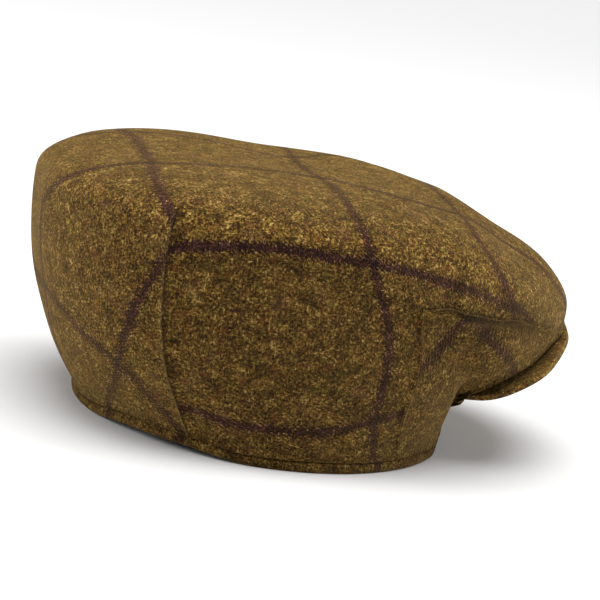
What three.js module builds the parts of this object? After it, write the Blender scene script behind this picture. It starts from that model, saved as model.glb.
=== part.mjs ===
// A flat cap of check tweed, resting on its hem, in millimetres with +Z up.
// The front of the cap is towards -Y and its right side is towards -X.
// Places in the tables are measured from the middle of the head opening:
// ahead is towards the front, aside is away from the middle plane, height is above the floor.
import * as THREE from 'three';

const CLOTH_THICKNESS = 2;
const SEAM_GAP = 0.4;
const ARCH_GAP = 1.5;

const HEM_RADIUS = 91.6;
const HEM_THICKNESS = 3;
const CLOTH_FOOT_RADIUS = 91;
const FRONT_STRETCH = 1.045;
const HEM_HEIGHT = 5;
const HEM_ARCH_LIFT = 20;
const HEM_ARCH_TURNS = [23, 32];
const HEM_DART_LIFT = 3.2;
const HEM_DART_TURNS = [100, 128, 140, 166];
const HEM_STEPS = 180;

const PEAK_THICKNESS = 3;
const PEAK_STEPS_ACROSS = 6;
const PEAK_CROWN_RISE = 2.5;
const PEAK_ROOT_HEIGHT = HEM_ARCH_LIFT + HEM_HEIGHT + SEAM_GAP + PEAK_THICKNESS;

const POLE_AHEAD = -15;
const POLE_CLIMB = 2;
const STEPS_PER_RIB = 2;
const WALL_STEPS = 8;
const TOP_STEPS = 10;

// Ribs that end over the peak, from the tip of the cap back to the temple.
// The edge is the cloth's lower edge and the fold is its crease above the side piece.
const OVER_PEAK = [
  ['edgeAhead', 'edgeAside', 'edgeHeight', 'foldAhead', 'foldAside', 'foldHeight', 'swell', 'lean', 'roll', 'tuck'],
  [151, 0, 64, 151.5, 0, 71, 0, 1.5, 3.1, 0],
  [144, 22, 63, 146, 23, 71, 0, 1.5, 3.1, 0],
  [132.5, 39, 59.5, 133, 42, 67.5, 0.3, 1.5, 3.1, 0.5],
  [120.5, 53.5, 54.5, 119, 56.5, 71, 1, 1.5, 3.1, 1.2],
  [105.5, 63.5, 49, 101.5, 69.5, 75, 2, 1.5, 3.3, 1.8],
  [94, 64, 42, 88.5, 76, 75.5, 3, 1.5, 3.5, 2.2],
  [87, 57.5, 34.5, 79, 80, 77, 4, 1.5, 3.7, 2.4],
];

// Ribs that end on the hem, from the temple round to the middle of the back.
// The turn is the direction of the lower edge, from straight ahead.
const ON_HEM = [
  ['turn', 'foldAhead', 'foldAside', 'foldHeight', 'swell', 'lean', 'roll', 'tuck'],
  [28, 70, 83.5, 78.5, 5, 1.5, 3.8, 2.6],
  [37, 60, 85.5, 81, 6, 1.5, 3.9, 2.8],
  [53, 42.5, 90, 85, 6, 1.5, 3.9, 3.5],
  [70.5, 17.5, 95, 92, 4.5, 1.5, 3.9, 0.6],
  [90, -13, 97, 93.5, 4.5, 1.5, 3.9, 0],
  [106.5, -43, 95.5, 95, 4.5, 1.6, 3.9, 0],
  [121.2, -74, 88.7, 96.3, 4.2, 1.75, 3.9, 0],
  [142.5, -103.5, 66.5, 98, 2.4, 2.05, 3.9, 0],
  [161.5, -121, 34.5, 100, -1.6, 2.4, 3.6, 0],
  [180, -123.5, 0, 100, -3, 2.6, 3.6, 0],
];

// The peak's outer edge, from its tip to its corner, and where its root lies on the hem.
const PEAK_RIM = [
  ['rootTurn', 'ahead', 'aside', 'height'],
  [0, 153.5, 0, 61],
  [5, 148.5, 24.5, 60.5],
  [10, 137, 45, 56.5],
  [14, 124, 59.5, 51.5],
  [18, 108, 65, 43.5],
  [21, 97, 61.5, 37.5],
  [23.5, 89, 51, 32],
  [25, 86, 42, 29.3],
];

// Height of the crown's top along the middle plane, before the roll at its rim.
const TOP_LINE = [
  ['ahead', 'height'],
  [-146.5, 121.5],
  [-81.5, 126.5],
  [-41.5, 127.7],
  [-1.5, 126.3],
  [39, 128.3],
  [79, 126],
  [106, 118],
  [128.5, 113.5],
  [150, 102],
];

const SEAM_RIB = 9;
const SEAM_SLANT = 0.1;
const SEAM_SWAY = 0.13;
const SEAM_BEND_SPREAD = 2.5;
const DART_RIB = 13;
const SIDE_PIECE_TIP_RIB = 1.5;
const DART_DEPTH = 1.4;
const DART_WIDTH = 0.22;
const DART_TOP = [1.15, 1.45];
const TUCK_SPREAD = 9;

const CLOTH_COLOUR = '#6b5427';
const SIDE_COLOUR = '#66502a';
const PEAK_COLOUR = '#4a3a1e';
const HEM_COLOUR = '#5b4722';

// Turns a table with a heading row into one object for each row.
function readTable([heading, ...rows]) {
  return rows.map((row) => Object.fromEntries(heading.map((name, i) => [name, row[i]])));
}

function smoothStep(value, [start, end]) {
  const t = Math.min(Math.max((value - start) / (end - start), 0), 1);
  return t * t * (3 - 2 * t);
}

// A smooth curve through b and c, steered by the neighbours a and d.
function blend([a, b, c, d], t) {
  return b + 0.5 * t * (c - a + t * (2 * a - 5 * b + 4 * c - d + t * (3 * (b - c) + d - a)));
}

const archRise = (turn) => 1 - smoothStep(turn, HEM_ARCH_TURNS);

// The hem's lower edge rests on the floor, arches up below the peak and is drawn up a little by each dart.
function hemLift(turn) {
  const [start, top, end, foot] = HEM_DART_TURNS;
  const drawnUp = smoothStep(turn, [start, top]) * (1 - smoothStep(turn, [end, foot]));
  return HEM_ARCH_LIFT * archRise(turn) + HEM_DART_LIFT * drawnUp;
}

// The cloth stands on the hem with a seam gap, a little wider where the arch climbs.
function clothFoot(turn) {
  const rise = archRise(turn);
  return hemLift(turn) + HEM_HEIGHT + SEAM_GAP + ARCH_GAP * 4 * rise * (1 - rise);
}

// The head opening is round at the back and a little longer towards the front.
function onHem(turn, radius, height) {
  const angle = THREE.MathUtils.degToRad(turn);
  const ahead = radius * Math.cos(angle);
  return new THREE.Vector3(radius * Math.sin(angle), -ahead * (ahead > 0 ? FRONT_STRETCH : 1), height);
}

const place = (ahead, aside, height) => new THREE.Vector3(aside, -ahead, height);

// Every rib as an edge point, a fold point and its shape values, front to back.
const ribs = [
  ...readTable(OVER_PEAK).map((row) => ({
    ...row,
    turn: THREE.MathUtils.radToDeg(Math.atan2(row.edgeAside, row.edgeAhead)),
    edge: place(row.edgeAhead, row.edgeAside, row.edgeHeight),
    fold: place(row.foldAhead, row.foldAside, row.foldHeight),
  })),
  ...readTable(ON_HEM).map((row) => ({
    ...row,
    edge: onHem(row.turn, CLOTH_FOOT_RADIUS, clothFoot(row.turn)),
    fold: place(row.foldAhead, row.foldAside, row.foldHeight),
  })),
];
const LAST_RIB = ribs.length - 1;
const FIRST_HEM_RIB = readTable(OVER_PEAK).length;

// Reads a value between rows. Past the middle plane at either end the rows repeat mirrored.
function between(rows, position, read) {
  const last = rows.length - 1;
  const start = Math.min(Math.floor(position), last - 1);
  const values = [-1, 0, 1, 2].map((step) => {
    const index = start + step;
    const mirrored = index < 0 || index > last;
    const inside = index < 0 ? -index : index > last ? 2 * last - index : index;
    return read(rows[inside], mirrored ? -1 : 1);
  });
  return blend(values, position - start);
}

function ribValue(rib, name) {
  return between(ribs, rib, (row) => row[name]);
}

function ribPoint(rib, name) {
  return new THREE.Vector3(
    between(ribs, rib, (row, side) => side * row[name].x),
    between(ribs, rib, (row) => row[name].y),
    between(ribs, rib, (row) => row[name].z),
  );
}

// The cloth's lower edge: free over the peak, then along the top of the hem.
function edgePoint(rib) {
  if (rib < FIRST_HEM_RIB) return ribPoint(rib, 'edge');
  const turn = between(ribs, rib, (row, side) => (side > 0 ? row.turn : 360 - row.turn));
  return onHem(turn, CLOTH_FOOT_RADIUS, clothFoot(turn));
}

function wallHeight(rib) {
  return ribPoint(rib, 'fold').z - edgePoint(rib).z;
}

const topRows = readTable(TOP_LINE);

function topHeight(ahead) {
  const last = topRows.length - 1;
  let start = 0;
  while (start < last - 1 && ahead > topRows[start + 1].ahead) start += 1;
  const heights = [-1, 0, 1, 2].map((step) => topRows[Math.min(Math.max(start + step, 0), last)].height);
  const span = topRows[start + 1].ahead - topRows[start].ahead;
  return blend(heights, Math.min(Math.max((ahead - topRows[start].ahead) / span, 0), 1));
}

// The front seam leans forwards at the top and sways back above the hem, and the ribs near it follow.
function seamBend(rib, climb) {
  const fromSeam = (rib - SEAM_RIB) / SEAM_BEND_SPREAD;
  const bend = SEAM_SLANT * (1 - 2 * climb) + SEAM_SWAY * Math.sin(2 * Math.PI * climb);
  return bend * Math.exp(-fromSeam * fromSeam);
}

// The cloth's outer face before its dents. Climb is 0 at the lower edge, 1 at the fold
// and 2 at the pole, the middle of the top.
function clothFace(straightRib, climb) {
  const rib = straightRib + seamBend(straightRib, Math.min(climb, 1));
  const fold = ribPoint(rib, 'fold');
  if (climb >= 1) {
    const sweep = (POLE_CLIMB - climb) * Math.PI / 2;
    const power = 2 / ribValue(rib, 'roll');
    const reach = Math.sin(sweep) ** power;
    const rise = Math.max(Math.cos(sweep), 0) ** power;
    const ahead = POLE_AHEAD + (-fold.y - POLE_AHEAD) * reach;
    return place(ahead, fold.x * reach, fold.z * (1 - rise) + topHeight(ahead) * rise);
  }
  const edge = edgePoint(rib);
  const lean = 1 - (1 - climb) ** ribValue(rib, 'lean');
  const swell = ribValue(rib, 'swell') * Math.sin(Math.PI * climb) ** 1.5;
  const outward = new THREE.Vector3(fold.x, fold.y, 0).setLength(swell);
  const height = edge.z + (fold.z - edge.z) * climb;
  return edge.lerp(fold, lean).setZ(height).add(outward);
}

function clothNormal(rib, climb) {
  if (climb === POLE_CLIMB) return new THREE.Vector3(0, 0, 1);
  const step = 0.03;
  const middle = Math.min(Math.max(climb, step), POLE_CLIMB - 2 * step);
  const along = clothFace(rib + step, middle).sub(clothFace(rib - step, middle));
  const up = clothFace(rib, middle + step).sub(clothFace(rib, middle - step));
  return along.cross(up).normalize();
}

// The face with its tucked crease above the side piece and its dart at the back.
function dentedFace(rib, climb) {
  const point = clothFace(rib, climb);
  const fromFold = point.distanceTo(ribPoint(rib, 'fold')) / TUCK_SPREAD;
  const tuck = ribValue(rib, 'tuck') * Math.exp(-fromFold * fromFold);
  const fromDart = (rib - DART_RIB) / DART_WIDTH;
  const dart = DART_DEPTH * Math.exp(-fromDart * fromDart) * (1 - smoothStep(climb, DART_TOP));
  return point.addScaledVector(clothNormal(rib, climb), -tuck - dart);
}

// Columns run once round the cap: right half front to back, then left half back to front.
function clothPoint(column, climb, depth) {
  const rib = column > LAST_RIB ? 2 * LAST_RIB - column : column;
  const point = dentedFace(rib, climb).addScaledVector(clothNormal(rib, climb), -depth);
  if (column > LAST_RIB) point.x = -point.x;
  return point;
}

// Drops the triangles that close up to nothing at the pole.
function geometryOf(triangles) {
  const solid = triangles.filter(([a, b, c]) => !a.equals(b) && !b.equals(c) && !c.equals(a));
  const geometry = new THREE.BufferGeometry().setFromPoints(solid.flat());
  geometry.computeVertexNormals();
  return geometry;
}

// Joins the kept cells of a grid of outer and inner points into one closed wall.
function wallGeometry(outer, inner, isLoop, isKept = () => true) {
  const columns = outer.length;
  const cellColumns = isLoop ? columns : columns - 1;
  const cellRows = outer[0].length - 1;
  const triangles = [];
  const quad = (a, b, c, d) => triangles.push([a, b, c], [a, c, d]);
  const kept = (i, j) => {
    const column = isLoop ? (i + columns) % columns : i;
    return column >= 0 && column < cellColumns && j >= 0 && j < cellRows && isKept(column, j);
  };
  for (let i = 0; i < cellColumns; i += 1) {
    for (let j = 0; j < cellRows; j += 1) {
      if (!kept(i, j)) continue;
      const next = (i + 1) % columns;
      const [a, b, c, d] = [outer[i][j], outer[next][j], outer[next][j + 1], outer[i][j + 1]];
      const [e, f, g, h] = [inner[i][j], inner[next][j], inner[next][j + 1], inner[i][j + 1]];
      quad(a, b, c, d);
      quad(e, h, g, f);
      if (!kept(i, j - 1)) quad(e, f, b, a);
      if (!kept(i, j + 1)) quad(d, c, g, h);
      if (!kept(i - 1, j)) quad(e, a, d, h);
      if (!kept(i + 1, j)) quad(b, f, g, c);
    }
  }
  return geometryOf(triangles);
}

const steps = (count, from, to) => Array.from({ length: count + 1 }, (_, i) => from + (to - from) * i / count);

function clothWall(columns, climbsAt, isLoop, isKept) {
  const layer = (depth) => columns.map((column) => climbsAt(column).map((climb) => clothPoint(column, climb, depth)));
  return wallGeometry(layer(0), layer(CLOTH_THICKNESS), isLoop, isKept);
}

// The crown body is every cell of the cloth but those of the two side pieces.
function crownBody() {
  const columns = steps(2 * LAST_RIB * STEPS_PER_RIB, 0, 2 * LAST_RIB).slice(0, -1);
  const climbs = [...steps(WALL_STEPS, 0, 1), ...steps(TOP_STEPS, 1, POLE_CLIMB).slice(1)];
  const onTop = (row) => row >= WALL_STEPS;
  const inSidePiece = (column) => {
    const middle = (column + 0.5) / STEPS_PER_RIB;
    const rib = Math.min(middle, 2 * LAST_RIB - middle);
    return rib > SIDE_PIECE_TIP_RIB && rib < SEAM_RIB;
  };
  return clothWall(columns, () => climbs, true, (column, row) => onTop(row) || !inSidePiece(column));
}

// A side piece fills the cells below the crown's fold, with a gap along its seams.
function sidePiece(isLeft) {
  const endGap = 0.025;
  const from = SIDE_PIECE_TIP_RIB + endGap;
  const to = SEAM_RIB - endGap;
  const inner = steps((SEAM_RIB - SIDE_PIECE_TIP_RIB) * STEPS_PER_RIB, SIDE_PIECE_TIP_RIB, SEAM_RIB).slice(1, -1);
  const halfColumns = [from, ...inner, to];
  const columns = isLeft ? halfColumns : halfColumns.map((column) => 2 * LAST_RIB - column).reverse();
  const climbsAt = (column) => {
    const rib = Math.min(column, 2 * LAST_RIB - column);
    return steps(WALL_STEPS, 0, 1 - SEAM_GAP / wallHeight(rib));
  };
  return clothWall(columns, climbsAt, false);
}

// The hem is one ring round the head opening.
function hemBand() {
  const turns = steps(HEM_STEPS, 0, 360).slice(0, -1);
  const layer = (radius) => turns.map((turn) => {
    const lift = hemLift(Math.min(turn, 360 - turn));
    return [onHem(turn, radius, lift), onHem(turn, radius, lift + HEM_HEIGHT)];
  });
  return wallGeometry(layer(HEM_RADIUS), layer(HEM_RADIUS - HEM_THICKNESS), true);
}

const peakRim = readTable(PEAK_RIM);

// The peak runs from its root on top of the hem out to its rim, slightly domed.
function peakPoint(position, outwards, depth) {
  const side = Math.sign(position) || 1;
  const at = (name) => between(peakRim, Math.abs(position), (row, sign) => (name === 'aside' ? sign : 1) * row[name]);
  const root = onHem(at('rootTurn'), HEM_RADIUS - HEM_THICKNESS, PEAK_ROOT_HEIGHT);
  const rim = place(at('ahead'), at('aside'), at('height'));
  const point = root.lerp(rim, outwards);
  point.z += PEAK_CROWN_RISE * Math.sin(Math.PI * outwards) - depth;
  point.x *= side;
  return point;
}

function peak() {
  const last = peakRim.length - 1;
  const positions = steps(2 * last * STEPS_PER_RIB, last, -last);
  const layer = (depth) => positions.map((position) => (
    steps(PEAK_STEPS_ACROSS, 0, 1).map((outwards) => peakPoint(position, outwards, depth))
  ));
  return wallGeometry(layer(0), layer(PEAK_THICKNESS), false);
}

function clothMesh(name, geometry, color) {
  const material = new THREE.MeshStandardMaterial({ color, roughness: 0.95, metalness: 0 });
  const mesh = new THREE.Mesh(geometry, material);
  mesh.name = name;
  return mesh;
}

const cap = new THREE.Group();
cap.add(
  clothMesh('crown_body', crownBody(), CLOTH_COLOUR),
  clothMesh('front_side_right', sidePiece(false), SIDE_COLOUR),
  clothMesh('front_side_left', sidePiece(true), SIDE_COLOUR),
  clothMesh('peak', peak(), PEAK_COLOUR),
  clothMesh('hem_band', hemBand(), HEM_COLOUR),
);

// The origin lies on the floor under the middle of the cap's outline.
const outline = new THREE.Box3().setFromObject(cap);
cap.children.forEach((mesh) => mesh.position.set(0, -(outline.min.y + outline.max.y) / 2, 0));

export default cap;
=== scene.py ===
import math

import bmesh
import bpy
import numpy as np
from mathutils import Matrix, Vector


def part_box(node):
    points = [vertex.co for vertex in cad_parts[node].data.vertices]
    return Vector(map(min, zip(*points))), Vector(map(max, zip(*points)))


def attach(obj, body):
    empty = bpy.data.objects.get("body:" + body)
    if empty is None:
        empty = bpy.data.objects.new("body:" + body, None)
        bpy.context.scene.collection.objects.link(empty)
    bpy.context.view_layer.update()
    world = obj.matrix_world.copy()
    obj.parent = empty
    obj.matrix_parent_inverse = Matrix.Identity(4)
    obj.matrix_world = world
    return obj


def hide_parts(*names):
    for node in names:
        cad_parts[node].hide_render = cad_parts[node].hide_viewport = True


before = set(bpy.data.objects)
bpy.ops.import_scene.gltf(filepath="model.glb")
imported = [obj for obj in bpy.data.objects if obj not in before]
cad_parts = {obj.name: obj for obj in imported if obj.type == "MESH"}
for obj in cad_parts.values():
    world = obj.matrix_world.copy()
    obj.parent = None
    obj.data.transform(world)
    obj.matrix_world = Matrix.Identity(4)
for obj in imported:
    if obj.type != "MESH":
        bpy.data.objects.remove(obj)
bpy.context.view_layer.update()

# The studio: a pale sheet of card under the cap, a long lens a metre away, a wide silk overhead and
# a soft box at each end of the cap, which leave the side that faces the lens in soft shade.
MM = 0.001
HEM_RADIUS = 91.6
opening_middle = Vector((0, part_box("hem_band")[1].y - HEM_RADIUS * MM, 0))
CAMERA_TURN = math.radians(-105)
CAMERA_RISE = math.radians(16.2)
CAMERA_ROLL = math.radians(10.306)
CAMERA_DISTANCE = 1.00763
AIM_ASIDE = 0.013954
AIM_UP = 0.058953
away = Vector((
    math.sin(CAMERA_TURN) * math.cos(CAMERA_RISE),
    -math.cos(CAMERA_TURN) * math.cos(CAMERA_RISE),
    math.sin(CAMERA_RISE),
))
level = Vector((0, 0, 1)).cross(away).normalized()
camera_place = opening_middle + away * CAMERA_DISTANCE
aim = opening_middle + level * AIM_ASIDE + away.cross(level) * AIM_UP

camera = bpy.data.objects.new("camera", bpy.data.cameras.new("camera"))
bpy.context.scene.collection.objects.link(camera)
bpy.context.scene.camera = camera
camera.data.lens = 120
camera.data.sensor_width = 36
camera.data.clip_end = 20
looking = (aim - camera_place).to_track_quat("-Z", "Y").to_matrix().to_4x4()
camera.matrix_world = Matrix.Translation(camera_place) @ looking @ Matrix.Rotation(CAMERA_ROLL, 4, "Z")

bpy.ops.mesh.primitive_plane_add(size=40)
floor = bpy.context.object
floor.name = "floor"
card = bpy.data.materials.new("white_card")
card.use_nodes = True
card_shader = card.node_tree.nodes["Principled BSDF"]
card_shader.inputs["Base Color"].default_value = (0.68, 0.68, 0.68, 1)
card_shader.inputs["Roughness"].default_value = 0.9
card_shader.inputs["Specular IOR Level"].default_value = 0.1
floor.data.materials.append(card)

overhead = bpy.data.objects.new("overhead_silk", bpy.data.lights.new("overhead_silk", "SUN"))
bpy.context.scene.collection.objects.link(overhead)
overhead.data.energy = 3.8
overhead.data.angle = math.radians(50)
overhead.rotation_euler = (0, math.radians(-3), 0)
LIGHTS = (
    # name, place, size, watts
    ("back_soft_box", (0.1, 1.7, 0.8), 1.0, 24),
    ("front_soft_box", (0.0, -1.7, 0.8), 1.0, 21),
)
for name, place, size, watts in LIGHTS:
    light = bpy.data.objects.new(name, bpy.data.lights.new(name, "AREA"))
    bpy.context.scene.collection.objects.link(light)
    light.data.size = size
    light.data.energy = watts
    light.location = place
    light.rotation_euler = (Vector((0, 0, 0.06)) - Vector(place)).to_track_quat("-Z", "Y").to_euler()
world = bpy.data.worlds.new("room")
bpy.context.scene.world = world
world.use_nodes = True
world.node_tree.nodes["Background"].inputs["Color"].default_value = (1, 1, 1, 1)
world.node_tree.nodes["Background"].inputs["Strength"].default_value = 0.12
bpy.context.scene.view_settings.view_transform = "Standard"

# The crown: one piece of felted wool tweed that makes the top, the sides and the back.
# It is drawn in by two rear darts, rolled under above the side pieces and sewn to the hem.
# Places are measured from the middle of the head opening, in millimetres.
OVER_PEAK = np.array([
    # edge ahead, aside, height; fold ahead, aside, height; swell, lean, roll, tuck
    [151.5, 0, 67.5, 151.5, 0, 71, 0, 1.5, 3.1, 0],
    [146, 22.8, 65.5, 146, 23, 71, 0, 1.5, 3.1, 0],
    [133, 39.5, 60.5, 133, 42, 67.5, 0.3, 1.5, 3.1, 0.5],
    [120.5, 53.5, 54.5, 119, 56.5, 71, 1, 1.5, 3.1, 1.2],
    [105.5, 63.5, 49, 101.5, 69.5, 75, 2, 1.5, 3.3, 1.8],
    [94, 64, 42, 88.5, 76, 75.5, 3, 1.5, 3.5, 2.2],
    [87, 57.5, 34.5, 79, 80, 77, 4, 1.5, 3.7, 2.4],
])
ON_HEM = np.array([
    # turn of the foot; fold ahead, aside, height; swell, lean, roll, tuck
    [28, 70, 83.5, 78.5, 5, 1.5, 3.8, 2.6],
    [37, 60, 85.5, 81, 6, 1.5, 3.9, 2.8],
    [53, 42.5, 90, 85, 6, 1.5, 3.9, 3.5],
    [70.5, 17.5, 95, 92, 4.5, 1.5, 3.9, 0.6],
    [90, -13, 97, 93.5, 4.5, 1.5, 3.9, 0],
    [106.5, -43, 95.5, 95, 4.5, 1.6, 3.9, 0],
    [121.2, -74, 88.7, 96.3, 4.2, 1.75, 3.9, 0],
    [142.5, -103.5, 66.5, 98, 2.4, 2.05, 3.9, 0],
    [161.5, -121, 34.5, 100, -1.6, 2.4, 3.6, 0],
    [180, -123.5, 0, 100, -3, 2.6, 3.6, 0],
])
TOP_LINE = np.array([
    # ahead, height of the top along the middle plane
    [-146.5, 121.5], [-81.5, 126.5], [-41.5, 127.7], [-1.5, 126.3], [39, 128.3],
    [79, 126], [106, 118], [128.5, 113.5], [150, 102],
])
TEMPLE_CORNER = (
    # axis (0 ahead, 1 aside, 2 height), shift, rib, spread in ribs
    (0, -3.6, 6.55, 0.33), (1, -5.0, 6.38, 0.25), (2, 4.2, 6.68, 0.22), (0, 1.0, 7.15, 0.3),
)
DECIMETRE = 100
CLOTH = 2
HEM_WIDE = 3
HEM_TALL = 5
SEAM_GAP = 0.4
FOOT_RADIUS = 91
FOOT_BULGE = 6
FRONT_STRETCH = 1.045
ARCH_LIFT = 20
ARCH_TURNS = (23, 32)
DART_LIFT = 3.2
DART_RISE_TURNS = (100, 128)
DART_FALL_TURNS = (140, 166)
FIRST_ON_HEM = 7
LAST_RIB = 16
POLE_AHEAD = -15
SEAM_RIB = 9
SEAM_RIB_WIDE = 22
TIP_RIB = 1.5
DART_RIB = 13
DART_RIB_WIDE = 24
LIP_OUT = 0.8
LIP_UP = 2.4
LIP_END_RIBS = (7.8, 8.95)
CHECK_REPEAT = 82


def smooth_step(value, start, end):
    t = np.clip((value - start) / (end - start), 0, 1)
    return t * t * (3 - 2 * t)


def curve(a, b, c, d, t):
    """A smooth curve through b and c, steered by the neighbours a and d."""
    return b + 0.5 * t * (c - a + t * (2 * a - 5 * b + 4 * c - d + t * (3 * (b - c) + d - a)))


def between(values, position, past_end=1, past_back=None):
    """Reads a value between ribs. Past the middle plane at either end the ribs repeat mirrored."""
    last = len(values) - 1
    start = np.clip(np.floor(position).astype(int), 0, last - 1)
    found = []
    for step in (-1, 0, 1, 2):
        index = start + step
        inside = np.where(index < 0, -index, np.where(index > last, 2 * last - index, index))
        value = values[inside]
        if past_back is not None:
            value = np.where(index > last, past_back - value, value)
        else:
            value = np.where((index < 0) | (index > last), past_end * value, value)
        found.append(value)
    return curve(*found, position - start)


def hem_lift(turn):
    """The hem rests on the floor, arches up below the peak and is drawn up a little by each dart."""
    arch = ARCH_LIFT * (1 - smooth_step(turn, *ARCH_TURNS))
    at_dart = smooth_step(turn, *DART_RISE_TURNS) * (1 - smooth_step(turn, *DART_FALL_TURNS))
    return arch + DART_LIFT * at_dart


def oval(turn, radius):
    """The head opening: round at the back, a little longer towards the front."""
    angle = np.radians(turn)
    return radius * np.cos(angle) * np.where(np.cos(angle) > 0, FRONT_STRETCH, 1), radius * np.sin(angle)


def on_hem(turn):
    """Ahead, aside and height of the cloth's foot on top of the hem."""
    rise = 1 - smooth_step(turn, *ARCH_TURNS)
    height = hem_lift(turn) + HEM_TALL + SEAM_GAP + FOOT_BULGE * rise * (1 - rise)
    ahead, aside = oval(turn, FOOT_RADIUS)
    return np.array([ahead, aside, height])


feet = on_hem(ON_HEM[:, 0])
front_turns = np.degrees(np.arctan2(OVER_PEAK[:, 1], OVER_PEAK[:, 0]))
RIBS = {"turn": np.concatenate([front_turns, ON_HEM[:, 0]])}
for index, name in enumerate(("edge_ahead", "edge_aside", "edge_height")):
    RIBS[name] = np.concatenate([OVER_PEAK[:, index], feet[index]])
for index, name in enumerate(("ahead", "aside", "height", "swell", "lean", "roll", "tuck")):
    RIBS[name] = np.concatenate([OVER_PEAK[:, 3 + index], ON_HEM[:, 1 + index]])


def rib_places(names, rib):
    """Ahead, aside and height between ribs. Aside changes sign past the middle plane."""
    return np.array([between(RIBS[name], rib, side) for name, side in zip(names, (1, -1, 1))])


def edge_line(rib):
    """The cloth's lower edge: free over the peak, then along the top of the hem."""
    over = rib_places(("edge_ahead", "edge_aside", "edge_height"), rib)
    foot = on_hem(between(RIBS["turn"], np.maximum(rib, FIRST_ON_HEM), past_back=360))
    return np.where(rib < FIRST_ON_HEM, over, foot)


def fold_line(rib):
    """The line round the cap where its top rolls over into its wall."""
    return rib_places(("ahead", "aside", "height"), rib)


def top_height(ahead):
    """The height of the crown's top on the middle plane, smooth between the rows of its table."""
    where = np.clip(ahead, TOP_LINE[0, 0], TOP_LINE[-1, 0])
    last = len(TOP_LINE) - 1
    start = np.clip(np.searchsorted(TOP_LINE[:, 0], where, side="right") - 1, 0, last - 1)
    heights = [TOP_LINE[np.clip(start + step, 0, last), 1] for step in (-1, 0, 1, 2)]
    t = (where - TOP_LINE[start, 0]) / (TOP_LINE[start + 1, 0] - TOP_LINE[start, 0])
    return curve(*heights, t)


def cloth_face(rib, climb):
    """Ahead, aside and height of the smooth cloth. Climb is 0 at the edge, 1 at the fold, 2 at the pole."""
    low = np.clip(climb, 0, 1)
    # Near the front seam the ribs lean and sway as the seam does.
    sway = 0.1 * (1 - 2 * low) + 0.13 * np.sin(2 * np.pi * low)
    rib = rib + sway * np.exp(-((rib - SEAM_RIB) / 2.5) ** 2)
    fold = fold_line(rib)
    edge = edge_line(rib)
    sweep = (2 - np.maximum(climb, 1)) * np.pi / 2
    power = 2 / between(RIBS["roll"], rib)
    reach = np.sin(sweep) ** power
    rise = np.maximum(np.cos(sweep), 0) ** power
    ahead = POLE_AHEAD + (fold[0] - POLE_AHEAD) * reach
    top = np.array([ahead, fold[1] * reach, fold[2] + (top_height(ahead) - fold[2]) * rise])
    lean = 1 - (1 - low) ** between(RIBS["lean"], rib)
    swell = between(RIBS["swell"], rib) * np.sin(np.pi * low) ** 1.5
    outward = fold[:2] / np.hypot(fold[0], fold[1])
    wall = np.array([
        edge[0] + (fold[0] - edge[0]) * lean + outward[0] * swell,
        edge[1] + (fold[1] - edge[1]) * lean + outward[1] * swell,
        edge[2] + (fold[2] - edge[2]) * low,
    ])
    return np.where(climb >= 1, top, wall)


def cloth_normal(rib, climb, step=0.03):
    middle = np.clip(climb, step, 2 - 2 * step)
    along = cloth_face(rib + step, middle) - cloth_face(rib - step, middle)
    up = cloth_face(rib, middle + step) - cloth_face(rib, middle - step)
    normal = np.cross(along.T, up.T).T
    return -normal / np.linalg.norm(normal, axis=0)


def handled(x, y, z):
    """The slight unevenness of felted cloth that has been shaped by hand, in millimetres."""
    broad = np.sin(x / 21 + 1.3) * np.sin(y / 24 + 0.4) * np.sin(z / 19 + 2.1)
    small = np.sin(x / 9.5 + 0.7) * np.sin(y / 11 + 2.2) * np.sin(z / 8.5 + 1.1)
    return 0.75 * broad + 0.28 * small


def cloth_place(column, climb, roll_out=0.0):
    """Points of the cloth for columns that run once round the cap, in metres in the CAD's frame."""
    right = column > LAST_RIB
    rib = np.where(right, 2 * LAST_RIB - column, column)
    point = cloth_face(rib, climb)
    normal = cloth_normal(rib, climb)
    side = np.where(right, -1, 1)
    from_fold = np.linalg.norm(point - fold_line(rib), axis=0)
    inwards = between(RIBS["tuck"], rib) * np.exp(-(from_fold / 9) ** 2)
    # Each dart is a sewn valley between two soft swellings, with small puckers across it.
    from_dart = (rib - DART_RIB) * DART_RIB_WIDE
    dart_fade = 1 - smooth_step(climb, 1.12, 1.4)
    pucker = np.sin(climb * 21 + 0.8 * np.sin(climb * 9)) * np.exp(-(from_dart / 7) ** 2)
    inwards = inwards + dart_fade * (
        1.3 * np.exp(-(from_dart / 0.9) ** 2) + 0.5 * np.exp(-(from_dart / 5) ** 2)
        - 0.5 * np.exp(-((from_dart + 5) / 3.5) ** 2) + 0.3 * pucker
    )
    # The front seam and the lower edge are both turned in.
    from_seam = (rib - SEAM_RIB) * SEAM_RIB_WIDE
    inwards = inwards + 0.8 * np.exp(-(from_seam / 1.2) ** 2) * (1 - smooth_step(climb, 0.93, 1.0))
    from_edge = np.linalg.norm(point - edge_line(rib), axis=0)
    inwards = inwards + 1.0 * np.exp(-(from_edge / 1.5) ** 2)
    point = point - normal * (inwards - roll_out - handled(point[0], point[1] * side, point[2]))
    # At the temple the edge turns a tight corner, from under the peak down to the hem.
    near_edge = np.exp(-(np.minimum(climb, 1) / 0.3) ** 2)
    for axis, shift, where, spread in TEMPLE_CORNER:
        point[axis] += shift * near_edge * np.exp(-((rib - where) / spread) ** 2)
    return np.array([point[1] * side, -point[0], point[2]]).T * MM + np.array(opening_middle)


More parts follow.
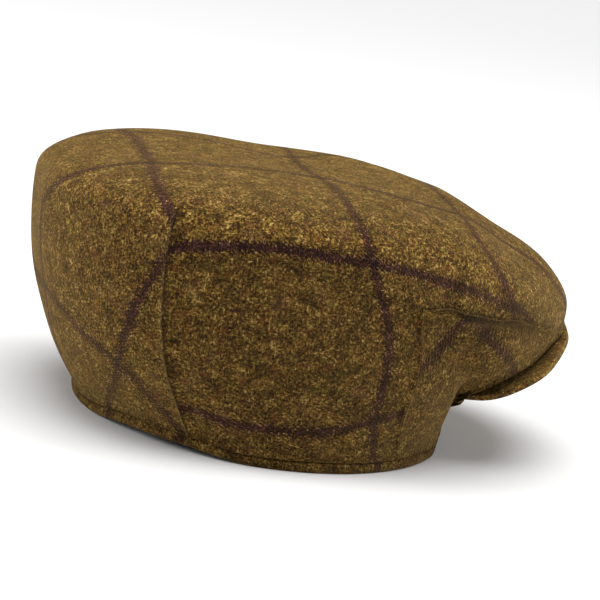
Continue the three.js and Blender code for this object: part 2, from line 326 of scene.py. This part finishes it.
def unrolled(rib, climb):
    """The cloth laid out flat round the pole: ahead and aside, as far out as the cloth is long."""
    ways = np.linspace(0, 1, 33)[:, None]
    path = cloth_face(np.broadcast_to(rib, (33, len(rib))), 2 - (2 - climb) * ways)
    length = np.linalg.norm(np.diff(path, axis=1), axis=0).sum(axis=0)
    fold = fold_line(rib)
    outward = np.array([fold[0] - POLE_AHEAD, fold[1]])
    return (outward / np.linalg.norm(outward, axis=0) * length).T


def warp_kernel(a, b):
    """How far each spot of a chart pulls on each other spot, as in a bent thin plate."""
    far = ((a[:, None, :] - b[None, :, :]) ** 2).sum(axis=2)
    return far * np.log(far + 1e-9)


def fitted_chart(rows, mirror, stiffness=0.04):
    """A smooth chart of the check through the places of its stripes, the same on both halves of the cap."""
    rows = np.array(rows, float)
    spots = unrolled(rows[:, 1], rows[:, 2]) / DECIMETRE
    spots = np.concatenate([spots, spots * [1, -1]])
    values = np.concatenate([rows[:, 0], rows[:, 0] * mirror])
    count = len(spots)
    plain = np.column_stack([np.ones(count), spots])
    system = np.zeros((count + 3, count + 3))
    system[:count, :count] = warp_kernel(spots, spots) + np.eye(count) * stiffness
    system[:count, count:] = plain
    system[count:, :count] = plain.T
    weights = np.linalg.solve(system, np.concatenate([values, np.zeros(3)]))

    def chart(rib, climb):
        places = unrolled(rib, climb) / DECIMETRE
        found = weights[count] + places @ weights[count + 1:]
        return found + warp_kernel(places, spots) @ weights[:count]

    return chart


# Where the stripes of the windowpane check run on the cap. Stripes that run back to front are at
# half numbers across, and stripes that run from side to side are at whole numbers along.
ACROSS_FRONT = [
    # number across, rib, climb
    [0.5, 15.33, 0.95], [0.5, 14.88, 1.11], [0.5, 14.7, 1.31], [0.5, 14.6, 1.505], [0.5, 14.38, 1.69],
    [0.5, 13.98, 1.785], [0.5, 11.93, 1.94], [0.5, 9.95, 1.955], [0.5, 8.58, 1.94], [0.5, 7.93, 1.87],
    [0.5, 7.4, 1.8], [0.5, 6.62, 1.74], [0.5, 5.1, 1.69], [0.5, 3.75, 1.65], [0.5, 2.9, 1.6], [0.5, 2.2, 1.5],
    [0.5, 1.7, 1.25],
    [1.5, 13.03, 0.995], [1.5, 12.28, 1.03], [1.5, 11.18, 1.07], [1.5, 10.08, 1.062], [1.5, 9.35, 1.07],
    [1.5, 8.45, 1.065], [1.5, 6.18, 1.055], [1.5, 4.6, 1.04], [1.5, 3.93, 1.03], [1.5, 3.15, 1.005],
    [2.5, 13.08, 0.15], [2.5, 12.35, 0.15], [2.5, 11.75, 0.16], [2.5, 11.18, 0.165], [2.5, 10.55, 0.17],
    [2.5, 10.05, 0.21], [2.5, 9.55, 0.27], [2.5, 9.08, 0.315],
]
ALONG_FRONT = [
    # number along, rib, climb
    [0, 8.58, 1.945], [0, 9.5, 1.855], [0, 10.05, 1.68], [0, 10.23, 1.43], [0, 10.18, 1.23], [0, 10.08, 1.07],
    [0, 9.95, 1.01], [0, 9.8, 0.95], [0, 9.74, 0.855], [0, 9.7, 0.725], [0, 9.64, 0.62], [0, 9.62, 0.495],
    [0, 9.6, 0.37], [0, 9.58, 0.27], [0, 9.55, 0.145], [0, 9.58, 0.015],
    [1, 3.33, 1.615], [1, 4.8, 1.455], [1, 4.95, 1.34], [1, 4.88, 1.195], [1, 4.53, 1.095], [1, 4.05, 1.04],
    [-1, 14.83, 1.74], [-1, 13.85, 1.6], [-1, 13.53, 1.465], [-1, 13.28, 1.29], [-1, 13.12, 1.2],
    [-0.94, 13, 1], [-0.9, 13, 0.5], [-0.86, 13, 0], [1.86, 0, 1], [1.8, 0, 1.25], [1.8, 1.5, 1], [1.4, 3, 1],
]
ACROSS_BACK = ACROSS_FRONT[:6] + [
    [1.5, 13.08, 0.94], [1.5, 13.15, 0.85], [1.5, 13.33, 0.695], [1.5, 13.48, 0.54], [1.5, 13.73, 0.335],
    [1.5, 13.98, 0.17], [1.5, 14.5, 0], [2.3, 13.05, 0], [1.95, 13.05, 0.4],
    [0.5, 15.5, 0.4], [0.5, 15.55, 0],
]
ALONG_BACK = [
    [-1, 14.83, 1.74], [-1, 13.85, 1.6], [-1, 13.53, 1.465], [-1, 13.28, 1.29], [-1, 13.12, 1.2],
    [-2, 14.88, 0.52], [-2, 14.62, 0.485], [-2, 14.38, 0.42], [-2, 14.08, 0.38], [-2, 13.75, 0.31],
    [-2, 13.53, 0.23], [-2, 13.33, 0.1], [-2, 13.12, 0],
    [-1.42, 14.6, 1.0], [-1.45, 16, 1.0], [-1.0, 16, 1.72],
]
across_front = fitted_chart(ACROSS_FRONT, -1)
along_front = fitted_chart(ALONG_FRONT, 1)
above = np.array([[rib, climb] for rib in (11, 12, 13, 14, 15, 16) for climb in (1.6, 1.8, 1.95)])
across_above = across_front(above[:, 0], above[:, 1])
along_above = along_front(above[:, 0], above[:, 1])
across_back = fitted_chart(ACROSS_BACK + [[a, *b] for a, b in zip(across_above, above)], -1)
along_back = fitted_chart(ALONG_BACK + [[a, *b] for a, b in zip(along_above, above)], 1)


def check_chart(rib, climb, is_behind_dart):
    """Across and along for the crown. Behind the dart, below its tip, the cloth is a turned panel."""
    front = np.array([across_front(rib, climb), along_front(rib, climb)])
    back = np.array([across_back(rib, climb), along_back(rib, climb)])
    over_tip = smooth_step(rib - DART_RIB, -0.02, 0.02 + 2.5 * np.clip(climb - 1.25, 0, 1))
    weight = np.where(climb < 1.25, 1.0, over_tip) * (1 - smooth_step(climb, 1.3, 1.8))
    if is_behind_dart is None:
        return front
    return front + (back - front) * np.where(is_behind_dart, weight, 0)


def spread_places(rib):
    """Climbs for the rows of cloth: evenly spaced along a rib, closer at the edge and above the fold."""
    climbs = np.linspace(0, 2, 2001)
    path = cloth_face(np.full(2001, float(rib)), climbs)
    length = np.concatenate([[0], np.cumsum(np.linalg.norm(np.diff(path, axis=1), axis=0))])
    to_fold = np.interp(1, climbs, length)
    edge_rows = [0, 0.8, 1.6, 2.4, 3.4, 4.6]
    wall_rows = np.linspace(6, to_fold, 35)
    roll_rows = to_fold + np.linspace(0.9, 9, 10)
    top_rows = np.linspace(to_fold + 10.5, length[-1], 46)
    rows = np.concatenate([edge_rows, wall_rows, roll_rows, top_rows])
    return np.interp(rows, length, climbs), len(edge_rows) + len(wall_rows) - 1


row_climbs, FOLD_ROW = spread_places(10)
row_climbs[FOLD_ROW] = 1.0
row_climbs[-1] = 2.0
half_ribs = np.concatenate([
    np.linspace(0, TIP_RIB, 19)[:-1], np.linspace(TIP_RIB, 8.7, 85)[:-1], np.linspace(8.7, 9.3, 19)[:-1],
    np.linspace(9.3, 12.6, 37)[:-1], np.linspace(12.6, 13.4, 31)[:-1], np.linspace(13.4, LAST_RIB, 31),
])
column_ribs = np.concatenate([half_ribs, 2 * LAST_RIB - half_ribs[-2::-1]])


def lip_raised(rib):
    """How far up the crown's lip stands over the side piece, from 0 to 1."""
    return smooth_step(rib, 2.8, 4.5) * (1 - smooth_step(rib, *LIP_END_RIBS))


def crown_place(column, climb):
    """The crown's own edge above the side pieces stands a little out and up, as a soft lip over them."""
    rib = np.minimum(column, 2 * LAST_RIB - column)
    over_side = smooth_step(rib, TIP_RIB, 3.2) * (1 - smooth_step(rib, *LIP_END_RIBS)) * (climb >= 1)
    point = cloth_face(rib, climb)
    from_fold = np.linalg.norm(point - fold_line(rib), axis=0)
    places = cloth_place(column, climb, LIP_OUT * over_side * np.exp(-(from_fold / 9) ** 2))
    places[:, 2] += LIP_UP * MM * lip_raised(rib) * np.exp(-(from_fold / 12) ** 2)
    return places


def laid_grid(places):
    """A grid of cloth with its corners at the given places, row by row."""
    rows, columns = places.shape[0] - 1, places.shape[1] - 1
    bm = bmesh.new()
    bmesh.ops.create_grid(bm, x_segments=columns, y_segments=rows, size=0.5)
    for vertex, place in zip(bm.verts, places.reshape(-1, 3)):
        vertex.co = place
    return bm


def repeat_size(value, places):
    """Millimetres of cloth between one stripe and the next, at each corner of a grid."""
    along_row, along_column = np.gradient(places / MM, axis=0), np.gradient(places / MM, axis=1)
    row_step, column_step = np.gradient(value, axis=0), np.gradient(value, axis=1)
    a = (along_row ** 2).sum(axis=2)
    b = (along_row * along_column).sum(axis=2)
    c = (along_column ** 2).sum(axis=2)
    slopes = c * row_step ** 2 - 2 * b * row_step * column_step + a * column_step ** 2
    steep = slopes / (a * c - b * b + 1e-9)
    return 1 / np.sqrt(np.clip(steep, 1e-4, 1))


def painted_seam_shade_and_highlight(rib, climb, under_lip=0.0):
    """Painted shade and painted highlight, from 0 to 1: how far the colour is darkened in the dart, the front
    seam, along the lower edge, under the crown's lip and at its edge, and how far it is made paler beside the
    dart's foot, round its tip and on the shoulder.
    """
    point = cloth_face(rib, climb)
    from_dart = (rib - DART_RIB) * DART_RIB_WIDE
    dart_fade = 1 - smooth_step(climb, 1.2, 1.38)
    lip = smooth_step(rib, 2.0, 3.0) * (1 - smooth_step(rib, 8.6, 9.1))
    from_edge = np.linalg.norm(point - edge_line(rib), axis=0)
    from_fold = np.linalg.norm(point - fold_line(rib), axis=0)
    # Painted shade: darker colour in the dart, the front seam, along the lower edge, under the crown's lip
    # and along the lip's edge.
    painted_shade = np.maximum.reduce([
        0.8 * np.exp(-(from_dart / 0.65) ** 2) * dart_fade,
        0.16 * np.exp(-((rib - SEAM_RIB) * SEAM_RIB_WIDE / 0.8) ** 2) * (climb < 1),
        0.55 * np.exp(-(from_edge / 1.3) ** 2),
        0.97 * np.exp(-(np.maximum(from_fold - 2.0, 0) / 0.6) ** 2) * under_lip * (climb < 0.999),
        0.97 * np.exp(-(from_fold / 1.5) ** 2) * lip * (climb > 0.999),
    ])
    # Painted highlight: paler colour beside the dart's foot, round the dart's tip and along the shoulder.
    dart_painted_highlight = 0.7 * np.exp(-((from_dart + 2.4) / 1.3) ** 2) * (1 - smooth_step(climb, 0.12, 0.35))
    tip_painted_highlight = np.exp(-((from_dart + 1.5) / 2.2) ** 2) * np.exp(-((climb - 1.35) / 0.06) ** 2)
    beside_top = smooth_step(rib, 2.5, 5) * (1 - smooth_step(rib, 13, 14.5))
    shoulder_painted_highlight = 0.6 * np.exp(-((climb - 1.2) / 0.14) ** 2) * beside_top
    return np.column_stack([painted_shade, np.maximum.reduce([dart_painted_highlight, tip_painted_highlight, shoulder_painted_highlight])])


def print_check(bm, charts, pick, painted_marks):
    """Writes the check's numbers, its repeat and the painted shade and highlight at the seams and edges into
    charts, corner by corner.
    """
    check = bm.loops.layers.uv.new("check")
    repeat = bm.loops.layers.uv.new("repeat")
    # The third chart holds painted shade on its first part and painted highlight on its second.
    painted_shade_and_highlight = bm.loops.layers.uv.new("painted_shade_and_highlight")
    bm.verts.index_update()
    for index, face in enumerate(bm.faces):
        numbers, sizes = charts[pick(index)]
        for loop in face.loops:
            loop[check].uv = numbers[loop.vert.index]
            loop[repeat].uv = sizes[loop.vert.index]
            loop[painted_shade_and_highlight].uv = painted_marks[loop.vert.index]


def finished(bm, name, thickness, rounding=0):
    """Makes the piece from its mesh, with the cloth's thickness inwards and rounded cut edges."""
    mesh = bpy.data.meshes.new(name)
    bm.to_mesh(mesh)
    bm.free()
    mesh.shade_smooth()
    piece = bpy.data.objects.new(name, mesh)
    bpy.context.scene.collection.objects.link(piece)
    if thickness:
        wall = piece.modifiers.new("wall", "SOLIDIFY")
        wall.thickness = thickness * MM
        wall.offset = -1
    if rounding:
        rounded = piece.modifiers.new("rounded_edges", "BEVEL")
        rounded.width = rounding * MM
        rounded.segments = 3
        rounded.limit_method = "ANGLE"
        rounded.angle_limit = math.radians(60)
    return piece


column_grid, climb_grid = np.meshgrid(column_ribs, row_climbs)
column_flat, climb_flat = column_grid.ravel(), climb_grid.ravel()
rib_flat = np.minimum(column_flat, 2 * LAST_RIB - column_flat)
side_flat = np.where(column_flat > LAST_RIB, -1, 1)
crown_places = crown_place(column_flat, climb_flat).reshape(*column_grid.shape, 3)
crown_charts = []
for is_behind in (None, rib_flat > DART_RIB - 1e-6):
    across, along = check_chart(rib_flat, climb_flat, is_behind)
    sizes = [
        repeat_size(value.reshape(column_grid.shape), crown_places).ravel() for value in (across, along)
    ]
    crown_charts.append((np.column_stack([across * side_flat, along]), np.column_stack(sizes) / DECIMETRE))

bm = laid_grid(crown_places)
face_columns = len(column_ribs) - 1
middles = (column_ribs[:-1] + column_ribs[1:]) / 2
face_ribs = np.minimum(middles, 2 * LAST_RIB - middles)
# Painted shade in the crown's dart, seam and lip edge, and painted highlight beside the dart and on the
# shoulder.
crown_painted_marks = painted_seam_shade_and_highlight(rib_flat, climb_flat)
print_check(bm, crown_charts, lambda index: int(face_ribs[index % face_columns] > DART_RIB), crown_painted_marks)
cut_away = [
    face for index, face in enumerate(bm.faces)
    if index // face_columns < FOLD_ROW and TIP_RIB < face_ribs[index % face_columns] < SEAM_RIB
]
bmesh.ops.delete(bm, geom=cut_away, context="FACES")
bmesh.ops.remove_doubles(bm, verts=bm.verts, dist=1e-6)
crown = finished(bm, "tweed_crown_body", CLOTH)


def linear(shade):
    """An sRGB hex colour as linear red, green, blue and a full alpha."""
    parts = [int(shade[i:i + 2], 16) / 255 for i in (1, 3, 5)]
    return [c / 12.92 if c <= 0.04045 else ((c + 0.055) / 1.055) ** 2.4 for c in parts] + [1]


def add(tree, kind, settings=(), inputs=()):
    """Adds one node, with its settings, and its inputs as values or as other nodes' outputs."""
    node = tree.nodes.new(kind)
    for name, value in dict(settings).items():
        setattr(node, name, value)
    for name, value in dict(inputs).items():
        if isinstance(value, bpy.types.NodeSocket):
            tree.links.new(value, node.inputs[name])
        else:
            node.inputs[name].default_value = value
    return node


HEATHER = (
    # share of the way from the shadowed yarn to the light fibre ends, shade
    (0.0, "#120902"), (0.3, "#2f1e0b"), (0.5, "#4b3413"),
    (0.68, "#674c1d"), (0.86, "#8a6f33"), (1.0, "#b0955a"),
)
# The yarn's lumps are 1.25 mm and its loose fibres 0.7 by 2.2 mm, the finest marks that the lens shows.
MARKS = (
    # name, marks to the millimetre, detail, squeeze along X, Y and Z, twist
    ("lumps", 0.8, 2, (1, 1, 1), 0), ("flecks", 0.9, 0, (1, 1, 1), 0),
    ("level fibres", 1.5, 1, (1, 0.3, 1), 0.8), ("upright fibres", 1.5, 1, (1, 1, 0.3), 0.8),
    ("fibres' way", 0.33, 1, (1, 1, 1), 0), ("clumps", 0.24, 3, (1, 0.6, 1), 0),
    ("tints", 0.24, 2, (1, 1, 1), 0), ("patches", 0.085, 2, (1, 1, 1), 0),
)
CARDED_IN = (
    # marks, where the yarn starts and is full, shade of the yarn, strength
    ("tints", 0.58, 0.72, "#7a4520", 0.3), ("patches", 0.56, 0.68, "#553628", 0.3),
    ("tints", 0.42, 0.3, "#5f5a22", 0.3), ("flecks", 0.68, 0.76, "#a8803a", 0.35),
)
STRIPES = (
    # place of the stripe in its repeat, what its maroon yarn leaves of the olive
    (0.0, "#9773da"), (0.5, "#9e7cdf"),
)
STRIPE_HALF = 2.7
TWILL_APART = 2.4


def felted_tweed(name, tone=1.0, fuzz=0.35, check_strength=(1.0, 1.0)):
    """Milled wool tweed in heather yarn: a soft nap of short fibres over a 2/2 twill, with a windowpane
    check of maroon yarn. The nap scatters light at a grazing view, so the top and the edges look paler."""
    cloth = bpy.data.materials.new(name)
    cloth.use_nodes = True
    tree = cloth.node_tree
    tree.nodes.clear()
    place = add(tree, "ShaderNodeTexCoord").outputs["Object"]
    to_millimetres = {0: place, "Scale": 1 / MM}
    millimetres = add(tree, "ShaderNodeVectorMath", {"operation": "SCALE"}, to_millimetres).outputs[0]
    charts = {}
    for chart in ("check", "repeat", "painted_shade_and_highlight"):
        corner = add(tree, "ShaderNodeUVMap", {"uv_map": chart}).outputs[0]
        charts[chart] = add(tree, "ShaderNodeSeparateXYZ", (), {0: corner}).outputs
    marks = {}
    for mark, scale, detail, squeeze, twist in MARKS:
        squeezed = add(tree, "ShaderNodeMapping", (), {"Vector": millimetres, "Scale": squeeze}).outputs[0]
        marks[mark] = add(tree, "ShaderNodeTexNoise", (), {
            "Vector": squeezed, "Scale": scale, "Detail": detail, "Roughness": 0.6, "Distortion": twist,
        }).outputs[0]

    def with_marks(value, parts):
        """Adds marks to a value, each taken from its own middle and by its own amount."""
        for mark, middle, amount in parts:
            off = add(tree, "ShaderNodeMath", {"operation": "SUBTRACT"}, {0: mark, 1: middle}).outputs[0]
            added = {0: off, 1: amount, 2: value}
            value = add(tree, "ShaderNodeMath", {"operation": "MULTIPLY_ADD"}, added).outputs[0]
        return value

    # The loose fibres lie level in some places and upright in others.
    turned = {"Value": marks["fibres' way"], "From Min": 0.44, "From Max": 0.56}
    upright = add(tree, "ShaderNodeMapRange", (), turned).outputs[0]
    fibres = add(tree, "ShaderNodeMix", {"data_type": "FLOAT"}, {
        0: upright, 2: marks["level fibres"], 3: marks["upright fibres"],
    }).outputs[0]

    # The twill's ridges are drawn about twice as far apart as real ones, so that they show.
    run = with_marks(charts["check"][0], [(charts["check"][1], 0, 1)])
    ridges = {0: run, 1: math.tau * CHECK_REPEAT / TWILL_APART}
    turns = add(tree, "ShaderNodeMath", {"operation": "MULTIPLY"}, ridges).outputs[0]
    wavering = with_marks(turns, [(marks["lumps"], 0, 7)])
    twill = add(tree, "ShaderNodeMath", {"operation": "SINE"}, {0: wavering}).outputs[0]

    shade = with_marks(0.48, [
        (marks["lumps"], 0.5, 1.5), (fibres, 0.5, 1.5), (twill, 0, 0.035),
        (marks["clumps"], 0.5, 1.0), (marks["patches"], 0.5, 0.2),
    ])
    heather = add(tree, "ShaderNodeValToRGB", (), {0: shade})
    heather.color_ramp.interpolation = "B_SPLINE"
    for _ in range(len(HEATHER) - 2):
        heather.color_ramp.elements.new(0.5)
    for stop, (where, colour) in zip(heather.color_ramp.elements, HEATHER):
        stop.position = where
        stop.color = [c * tone for c in linear(colour)[:3]] + [1]

    # Rust, plum, moss and straw yarns were carded into the olive one.
    # A colour mix has its share on socket 0, its colours on 6 and 7, and its result on 2.
    coloured = heather.outputs[0]
    for mark, start, full, yarn, strength in CARDED_IN:
        amount = add(tree, "ShaderNodeMapRange", (), {
            "Value": marks[mark], "From Min": start, "From Max": full, "To Max": strength,
        }).outputs[0]
        mixed = {0: amount, 6: coloured, 7: [c * tone for c in linear(yarn)[:3]] + [1]}
        coloured = add(tree, "ShaderNodeMix", {"data_type": "RGBA"}, mixed).outputs[2]

    # Stripes of maroon yarn, about 5 mm wide, with edges broken by the twill and the nap. Where two
    # cross, both sets of yarn are maroon and the cloth is darkest.
    multiply = {"data_type": "RGBA", "blend_type": "MULTIPLY"}
    for axis, (shift, tint) in enumerate(STRIPES):
        off_stripe = charts["check"][axis]
        for operation, value in (
            ("ADD", shift), ("FRACT", 0), ("SUBTRACT", 0.5), ("ABSOLUTE", 0),
            ("MULTIPLY", charts["repeat"][axis]), ("MULTIPLY", DECIMETRE),
        ):
            step = {0: off_stripe, 1: value}
            off_stripe = add(tree, "ShaderNodeMath", {"operation": operation}, step).outputs[0]
        ragged = with_marks(off_stripe, [(fibres, 0.5, 7), (twill, 0, 0.8), (marks["tints"], 0.5, 3)])
        amount = add(tree, "ShaderNodeMapRange", {"interpolation_type": "SMOOTHSTEP"}, {
            "Value": ragged, "From Min": STRIPE_HALF + 0.9, "From Max": STRIPE_HALF - 1.2,
            "To Max": check_strength[axis],
        }).outputs[0]
        coloured = add(tree, "ShaderNodeMix", multiply, {0: amount, 6: coloured, 7: linear(tint)}).outputs[2]

    # Painted shade: the colour is darkened towards a shadow colour in the dart, the seams, along the edges
    # and under the crown's lip. Painted highlight: beside the dart, round its tip and on the shoulder the
    # colour is made lighter.
    seam_painted_shade = {0: charts["painted_shade_and_highlight"][0], 6: coloured, 7: linear("#7c6c61")}
    coloured = add(tree, "ShaderNodeMix", multiply, seam_painted_shade).outputs[2]
    painted_highlight = {0: coloured, "Scale": with_marks(1.0, [(charts["painted_shade_and_highlight"][1], 0, 0.7)])}
    coloured = add(tree, "ShaderNodeVectorMath", {"operation": "SCALE"}, painted_highlight).outputs[0]

    height = with_marks(marks["lumps"], [(fibres, 0, 1.2), (twill, 0, 0.06)])
    nap = {"Strength": 0.75, "Distance": 0.0009, "Height": height}
    shader = add(tree, "ShaderNodeBsdfPrincipled", (), {
        "Base Color": coloured, "Roughness": 0.95, "Specular IOR Level": 0.12, "Sheen Weight": fuzz,
        "Sheen Roughness": 0.5, "Sheen Tint": linear("#c8a866"),
        "Normal": add(tree, "ShaderNodeBump", (), nap).outputs[0],
    }).outputs[0]
    add(tree, "ShaderNodeOutputMaterial", (), {"Surface": shader})
    return cloth


crown.data.materials.append(felted_tweed("felted_tweed_crown"))
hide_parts("crown_body")
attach(crown, "root")

# The side pieces: two bias-cut pieces of the same tweed that close the front below the fold.
# Each is sewn under the crown's rolled edge, along its front seam, and to the hem and the peak's root.
APEX_RIB = 6.86
LEANING_BACK = (-0.775, -0.632)
LEANING_AHEAD = (0.78, -0.625)
TUCKED_IN = 0.3
TUCKED_UNDER = 2.3
UP_UNDER_LIP = 2.0
TURNED_IN = (
    # in from the edge, down
    (9, 5.5), (6, 3.2), (3, 1.2),
)
# Painted shade: the strip turned in under the edge over the peak is darkened by this share towards the shadow
# colour.
TURNED_IN_PAINTED_SHADE = 0.6
bias_tweed = felted_tweed("felted_tweed_bias", 0.97, 0.35, (1.0, 1.0))
piece_ribs = np.concatenate([
    np.linspace(TIP_RIB + 0.025, 2.2, 9)[:-1], np.linspace(2.2, 8.6, 76)[:-1],
    np.linspace(8.6, SEAM_RIB - 0.025, 14),
])
last_climbs = np.linspace(row_climbs[FOLD_ROW - 1], 0.995, 7)
piece_climbs = np.concatenate([row_climbs[:FOLD_ROW - 1], last_climbs])
rib_grid, climb_grid = np.meshgrid(piece_ribs, piece_climbs)
ribs, climbs = rib_grid.ravel(), climb_grid.ravel()

# The check lies askew on these pieces. Its places are walked along the cloth from their highest point.
walk_ribs = np.linspace(0, 10, 401)
middle_line = cloth_face(walk_ribs, np.full(len(walk_ribs), 0.6))
walked = np.concatenate([[0], np.cumsum(np.linalg.norm(np.diff(middle_line[:2], axis=1), axis=0))])
forwards = np.interp(APEX_RIB, walk_ribs, walked) - np.interp(ribs, walk_ribs, walked)
upwards = cloth_face(ribs, climbs)[2] - fold_line(np.array([APEX_RIB]))[2]
off_back_stripe = (forwards * LEANING_BACK[1] - upwards * LEANING_BACK[0]) / CHECK_REPEAT
off_ahead_stripe = (forwards * LEANING_AHEAD[1] - upwards * LEANING_AHEAD[0]) / CHECK_REPEAT
bias_chart = (
    np.column_stack([off_back_stripe + 0.5, off_ahead_stripe]),
    np.full((len(forwards), 2), CHECK_REPEAT / DECIMETRE),
)
raised = lip_raised(ribs)
under_lip = smooth_step(ribs, 1.6, 2.6) * (1 - smooth_step(ribs, 8.2, 8.97))
tucked = -(TUCKED_IN + TUCKED_UNDER * under_lip) * smooth_step(climbs, 0.9, 0.975)
lifted = (LIP_UP * raised + UP_UNDER_LIP * under_lip) * MM * smooth_step(climbs, 0.8, 1.0)
over_peak = (1 - smooth_step(piece_ribs, 5.3, 6.2))[:, None]
# Painted shade on the turned-in strip, and painted shade and highlight along the seams and under the lip.
turned_in_painted_shade = np.tile([TURNED_IN_PAINTED_SHADE, 0], (len(TURNED_IN) * len(piece_ribs), 1))
bias_painted_marks = np.concatenate([turned_in_painted_shade, painted_seam_shade_and_highlight(ribs, climbs, raised)])
whole_chart = tuple(np.concatenate([chart[:len(turned_in_painted_shade)], chart]) for chart in bias_chart)
for name, node, on_right in (
    ("tweed_side_right", "front_side_right", True),
    ("tweed_side_left", "front_side_left", False),
):
    places = cloth_place(2 * LAST_RIB - ribs if on_right else ribs, climbs, tucked)
    places[:, 2] += lifted
    places = places.reshape(*rib_grid.shape, 3)
    # Over the peak the lower edge is turned in and down on to it.
    inwards = np.array(opening_middle) - places[:1]
    inwards[..., 2] = 0
    inwards = inwards / np.linalg.norm(inwards, axis=2, keepdims=True) * over_peak
    downwards = np.array([0, 0, -1]) * np.linalg.norm(inwards, axis=2, keepdims=True)
    turned = [places[:1] + (inwards * across + downwards * down) * MM for across, down in TURNED_IN]
    bm = laid_grid(np.concatenate([*turned, places]))
    print_check(bm, [whole_chart], lambda index: 0, bias_painted_marks)
    if on_right:
        bmesh.ops.reverse_faces(bm, faces=bm.faces)
    piece = finished(bm, name, CLOTH)
    piece.data.materials.append(bias_tweed)
    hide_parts(node)
    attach(piece, "root")

# The peak: a stiff core covered with the same tweed, sewn to the hem below the crown's front.
# Only a thin rim of it shows beyond the cloth.
PEAK_RIM = np.array([
    # turn of its root; ahead, aside, height of its rim
    [0, 153, 0, 66], [5, 148.2, 24.5, 64.3], [10, 136.8, 44.8, 57.8], [14, 124, 59.5, 51.5],
    [18, 108, 65, 43.5], [21, 97, 61.5, 37.8], [24, 87, 49, 33], [27.5, 83.5, 42.5, 29.5],
])
PEAK_THICK = 3
PEAK_HUMP = 2.5
ROOT_DROP = 7
SLANTED_REPEAT = 116
SLANTED_STARTS = (34, 20)
peak_root_height = ARCH_LIFT + HEM_TALL + SEAM_GAP + PEAK_THICK
peak_columns = 140
peak_rows = 36
position, out = np.meshgrid(np.linspace(-1, 1, peak_columns + 1), np.linspace(0, 1, peak_rows + 1))
position, out = position.ravel() * (len(PEAK_RIM) - 1), out.ravel()
side = np.where(position < 0, -1, 1)
position = np.abs(position)
turn, ahead, aside, height = (
    between(column, position, past_middle) for column, past_middle in zip(PEAK_RIM.T, (-1, 1, -1, 1))
)
root_ahead, root_aside = oval(turn, HEM_RADIUS - HEM_WIDE)
ahead = root_ahead + (ahead - root_ahead) * out
aside = (root_aside + (aside - root_aside) * out) * side
root_height = peak_root_height - ROOT_DROP * smooth_step(position, 5.2, 7)
height = root_height + (height - root_height) * out + PEAK_HUMP * np.sin(np.pi * out)
places = np.array([aside, -ahead, height]).T * MM + np.array(opening_middle)
bm = laid_grid(places.reshape(peak_rows + 1, peak_columns + 1, 3))
slanting = np.column_stack([ahead + aside, ahead - aside]) - SLANTED_STARTS
peak_chart = (slanting / SLANTED_REPEAT, np.full((len(ahead), 2), CHECK_REPEAT / DECIMETRE))
print_check(bm, [peak_chart], lambda index: 0, np.zeros((len(ahead), 2)))
bmesh.ops.reverse_faces(bm, faces=bm.faces)
peak = finished(bm, "tweed_peak", PEAK_THICK, 1.2)
# Painted light: the peak's tweed is 1.4 times as light as the rest, to lift its rim out of the shadow that
# the crown's edge casts on it.
peak.data.materials.append(felted_tweed("felted_tweed_peak_painted_lighter", 1.4, 0.4, (0.7, 0.5)))
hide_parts("peak")
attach(peak, "root")

# The hem: the cloth's lower edge turned in and stitched, a narrow padded band round the head opening.
# It lies flat on the floor, arches up below the peak and rises a little at each dart.
HEM_STEPS = 360
HEM_REPEAT = 60
bm = bmesh.new()
section = [
    bm.verts.new(Vector((radius * MM, 0, height * MM)))
    for radius, height in (
        (HEM_RADIUS - HEM_WIDE, 1.2), (HEM_RADIUS - HEM_WIDE + 1, 0), (HEM_RADIUS - 1, 0),
        (HEM_RADIUS - 0.3, 0.5), (HEM_RADIUS, 1.5), (HEM_RADIUS + 0.2, 2.6), (HEM_RADIUS - 0.1, 3.8),
        (HEM_RADIUS - 1.2, HEM_TALL), (HEM_RADIUS - HEM_WIDE + 1, HEM_TALL),
        (HEM_RADIUS - HEM_WIDE, HEM_TALL - 1),
    )
]
ring = [bm.edges.new((a, b)) for a, b in zip(section, section[1:] + section[:1])]
bmesh.ops.spin(
    bm, geom=section + ring, cent=(0, 0, 0), axis=(0, 0, 1),
    angle=math.tau, steps=HEM_STEPS, use_merge=True,
)
hem_turns = np.degrees([math.atan2(abs(v.co.x), -v.co.y) for v in bm.verts])
hem_sides = np.array([-1 if v.co.x < 0 else 1 for v in bm.verts])
hem_ribs = np.interp(hem_turns, RIBS["turn"][SEAM_RIB:], np.arange(SEAM_RIB, LAST_RIB + 1))
is_back = hem_ribs > DART_RIB
foot = np.zeros(len(hem_ribs))
across, along = check_chart(hem_ribs, foot, is_back)
bare = hem_turns < RIBS["turn"][SEAM_RIB]
numbers = np.column_stack([np.where(bare, 0, across * hem_sides), np.where(bare, 0.5, along)])
for vertex, turn in zip(bm.verts, hem_turns):
    vertex.co.z += float(hem_lift(turn)) * MM
    vertex.co.y *= FRONT_STRETCH if vertex.co.y < 0 else 1
    vertex.co += opening_middle
bmesh.ops.recalc_face_normals(bm, faces=bm.faces)
hem_chart = (numbers, np.full((len(numbers), 2), HEM_REPEAT / DECIMETRE))
print_check(bm, [hem_chart], lambda index: 0, np.zeros((len(numbers), 2)))
hem = finished(bm, "tweed_hem_band", 0)
hem.data.materials.append(felted_tweed("felted_tweed_hem", 0.9, 0.35))
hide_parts("hem_band")
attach(hem, "root")
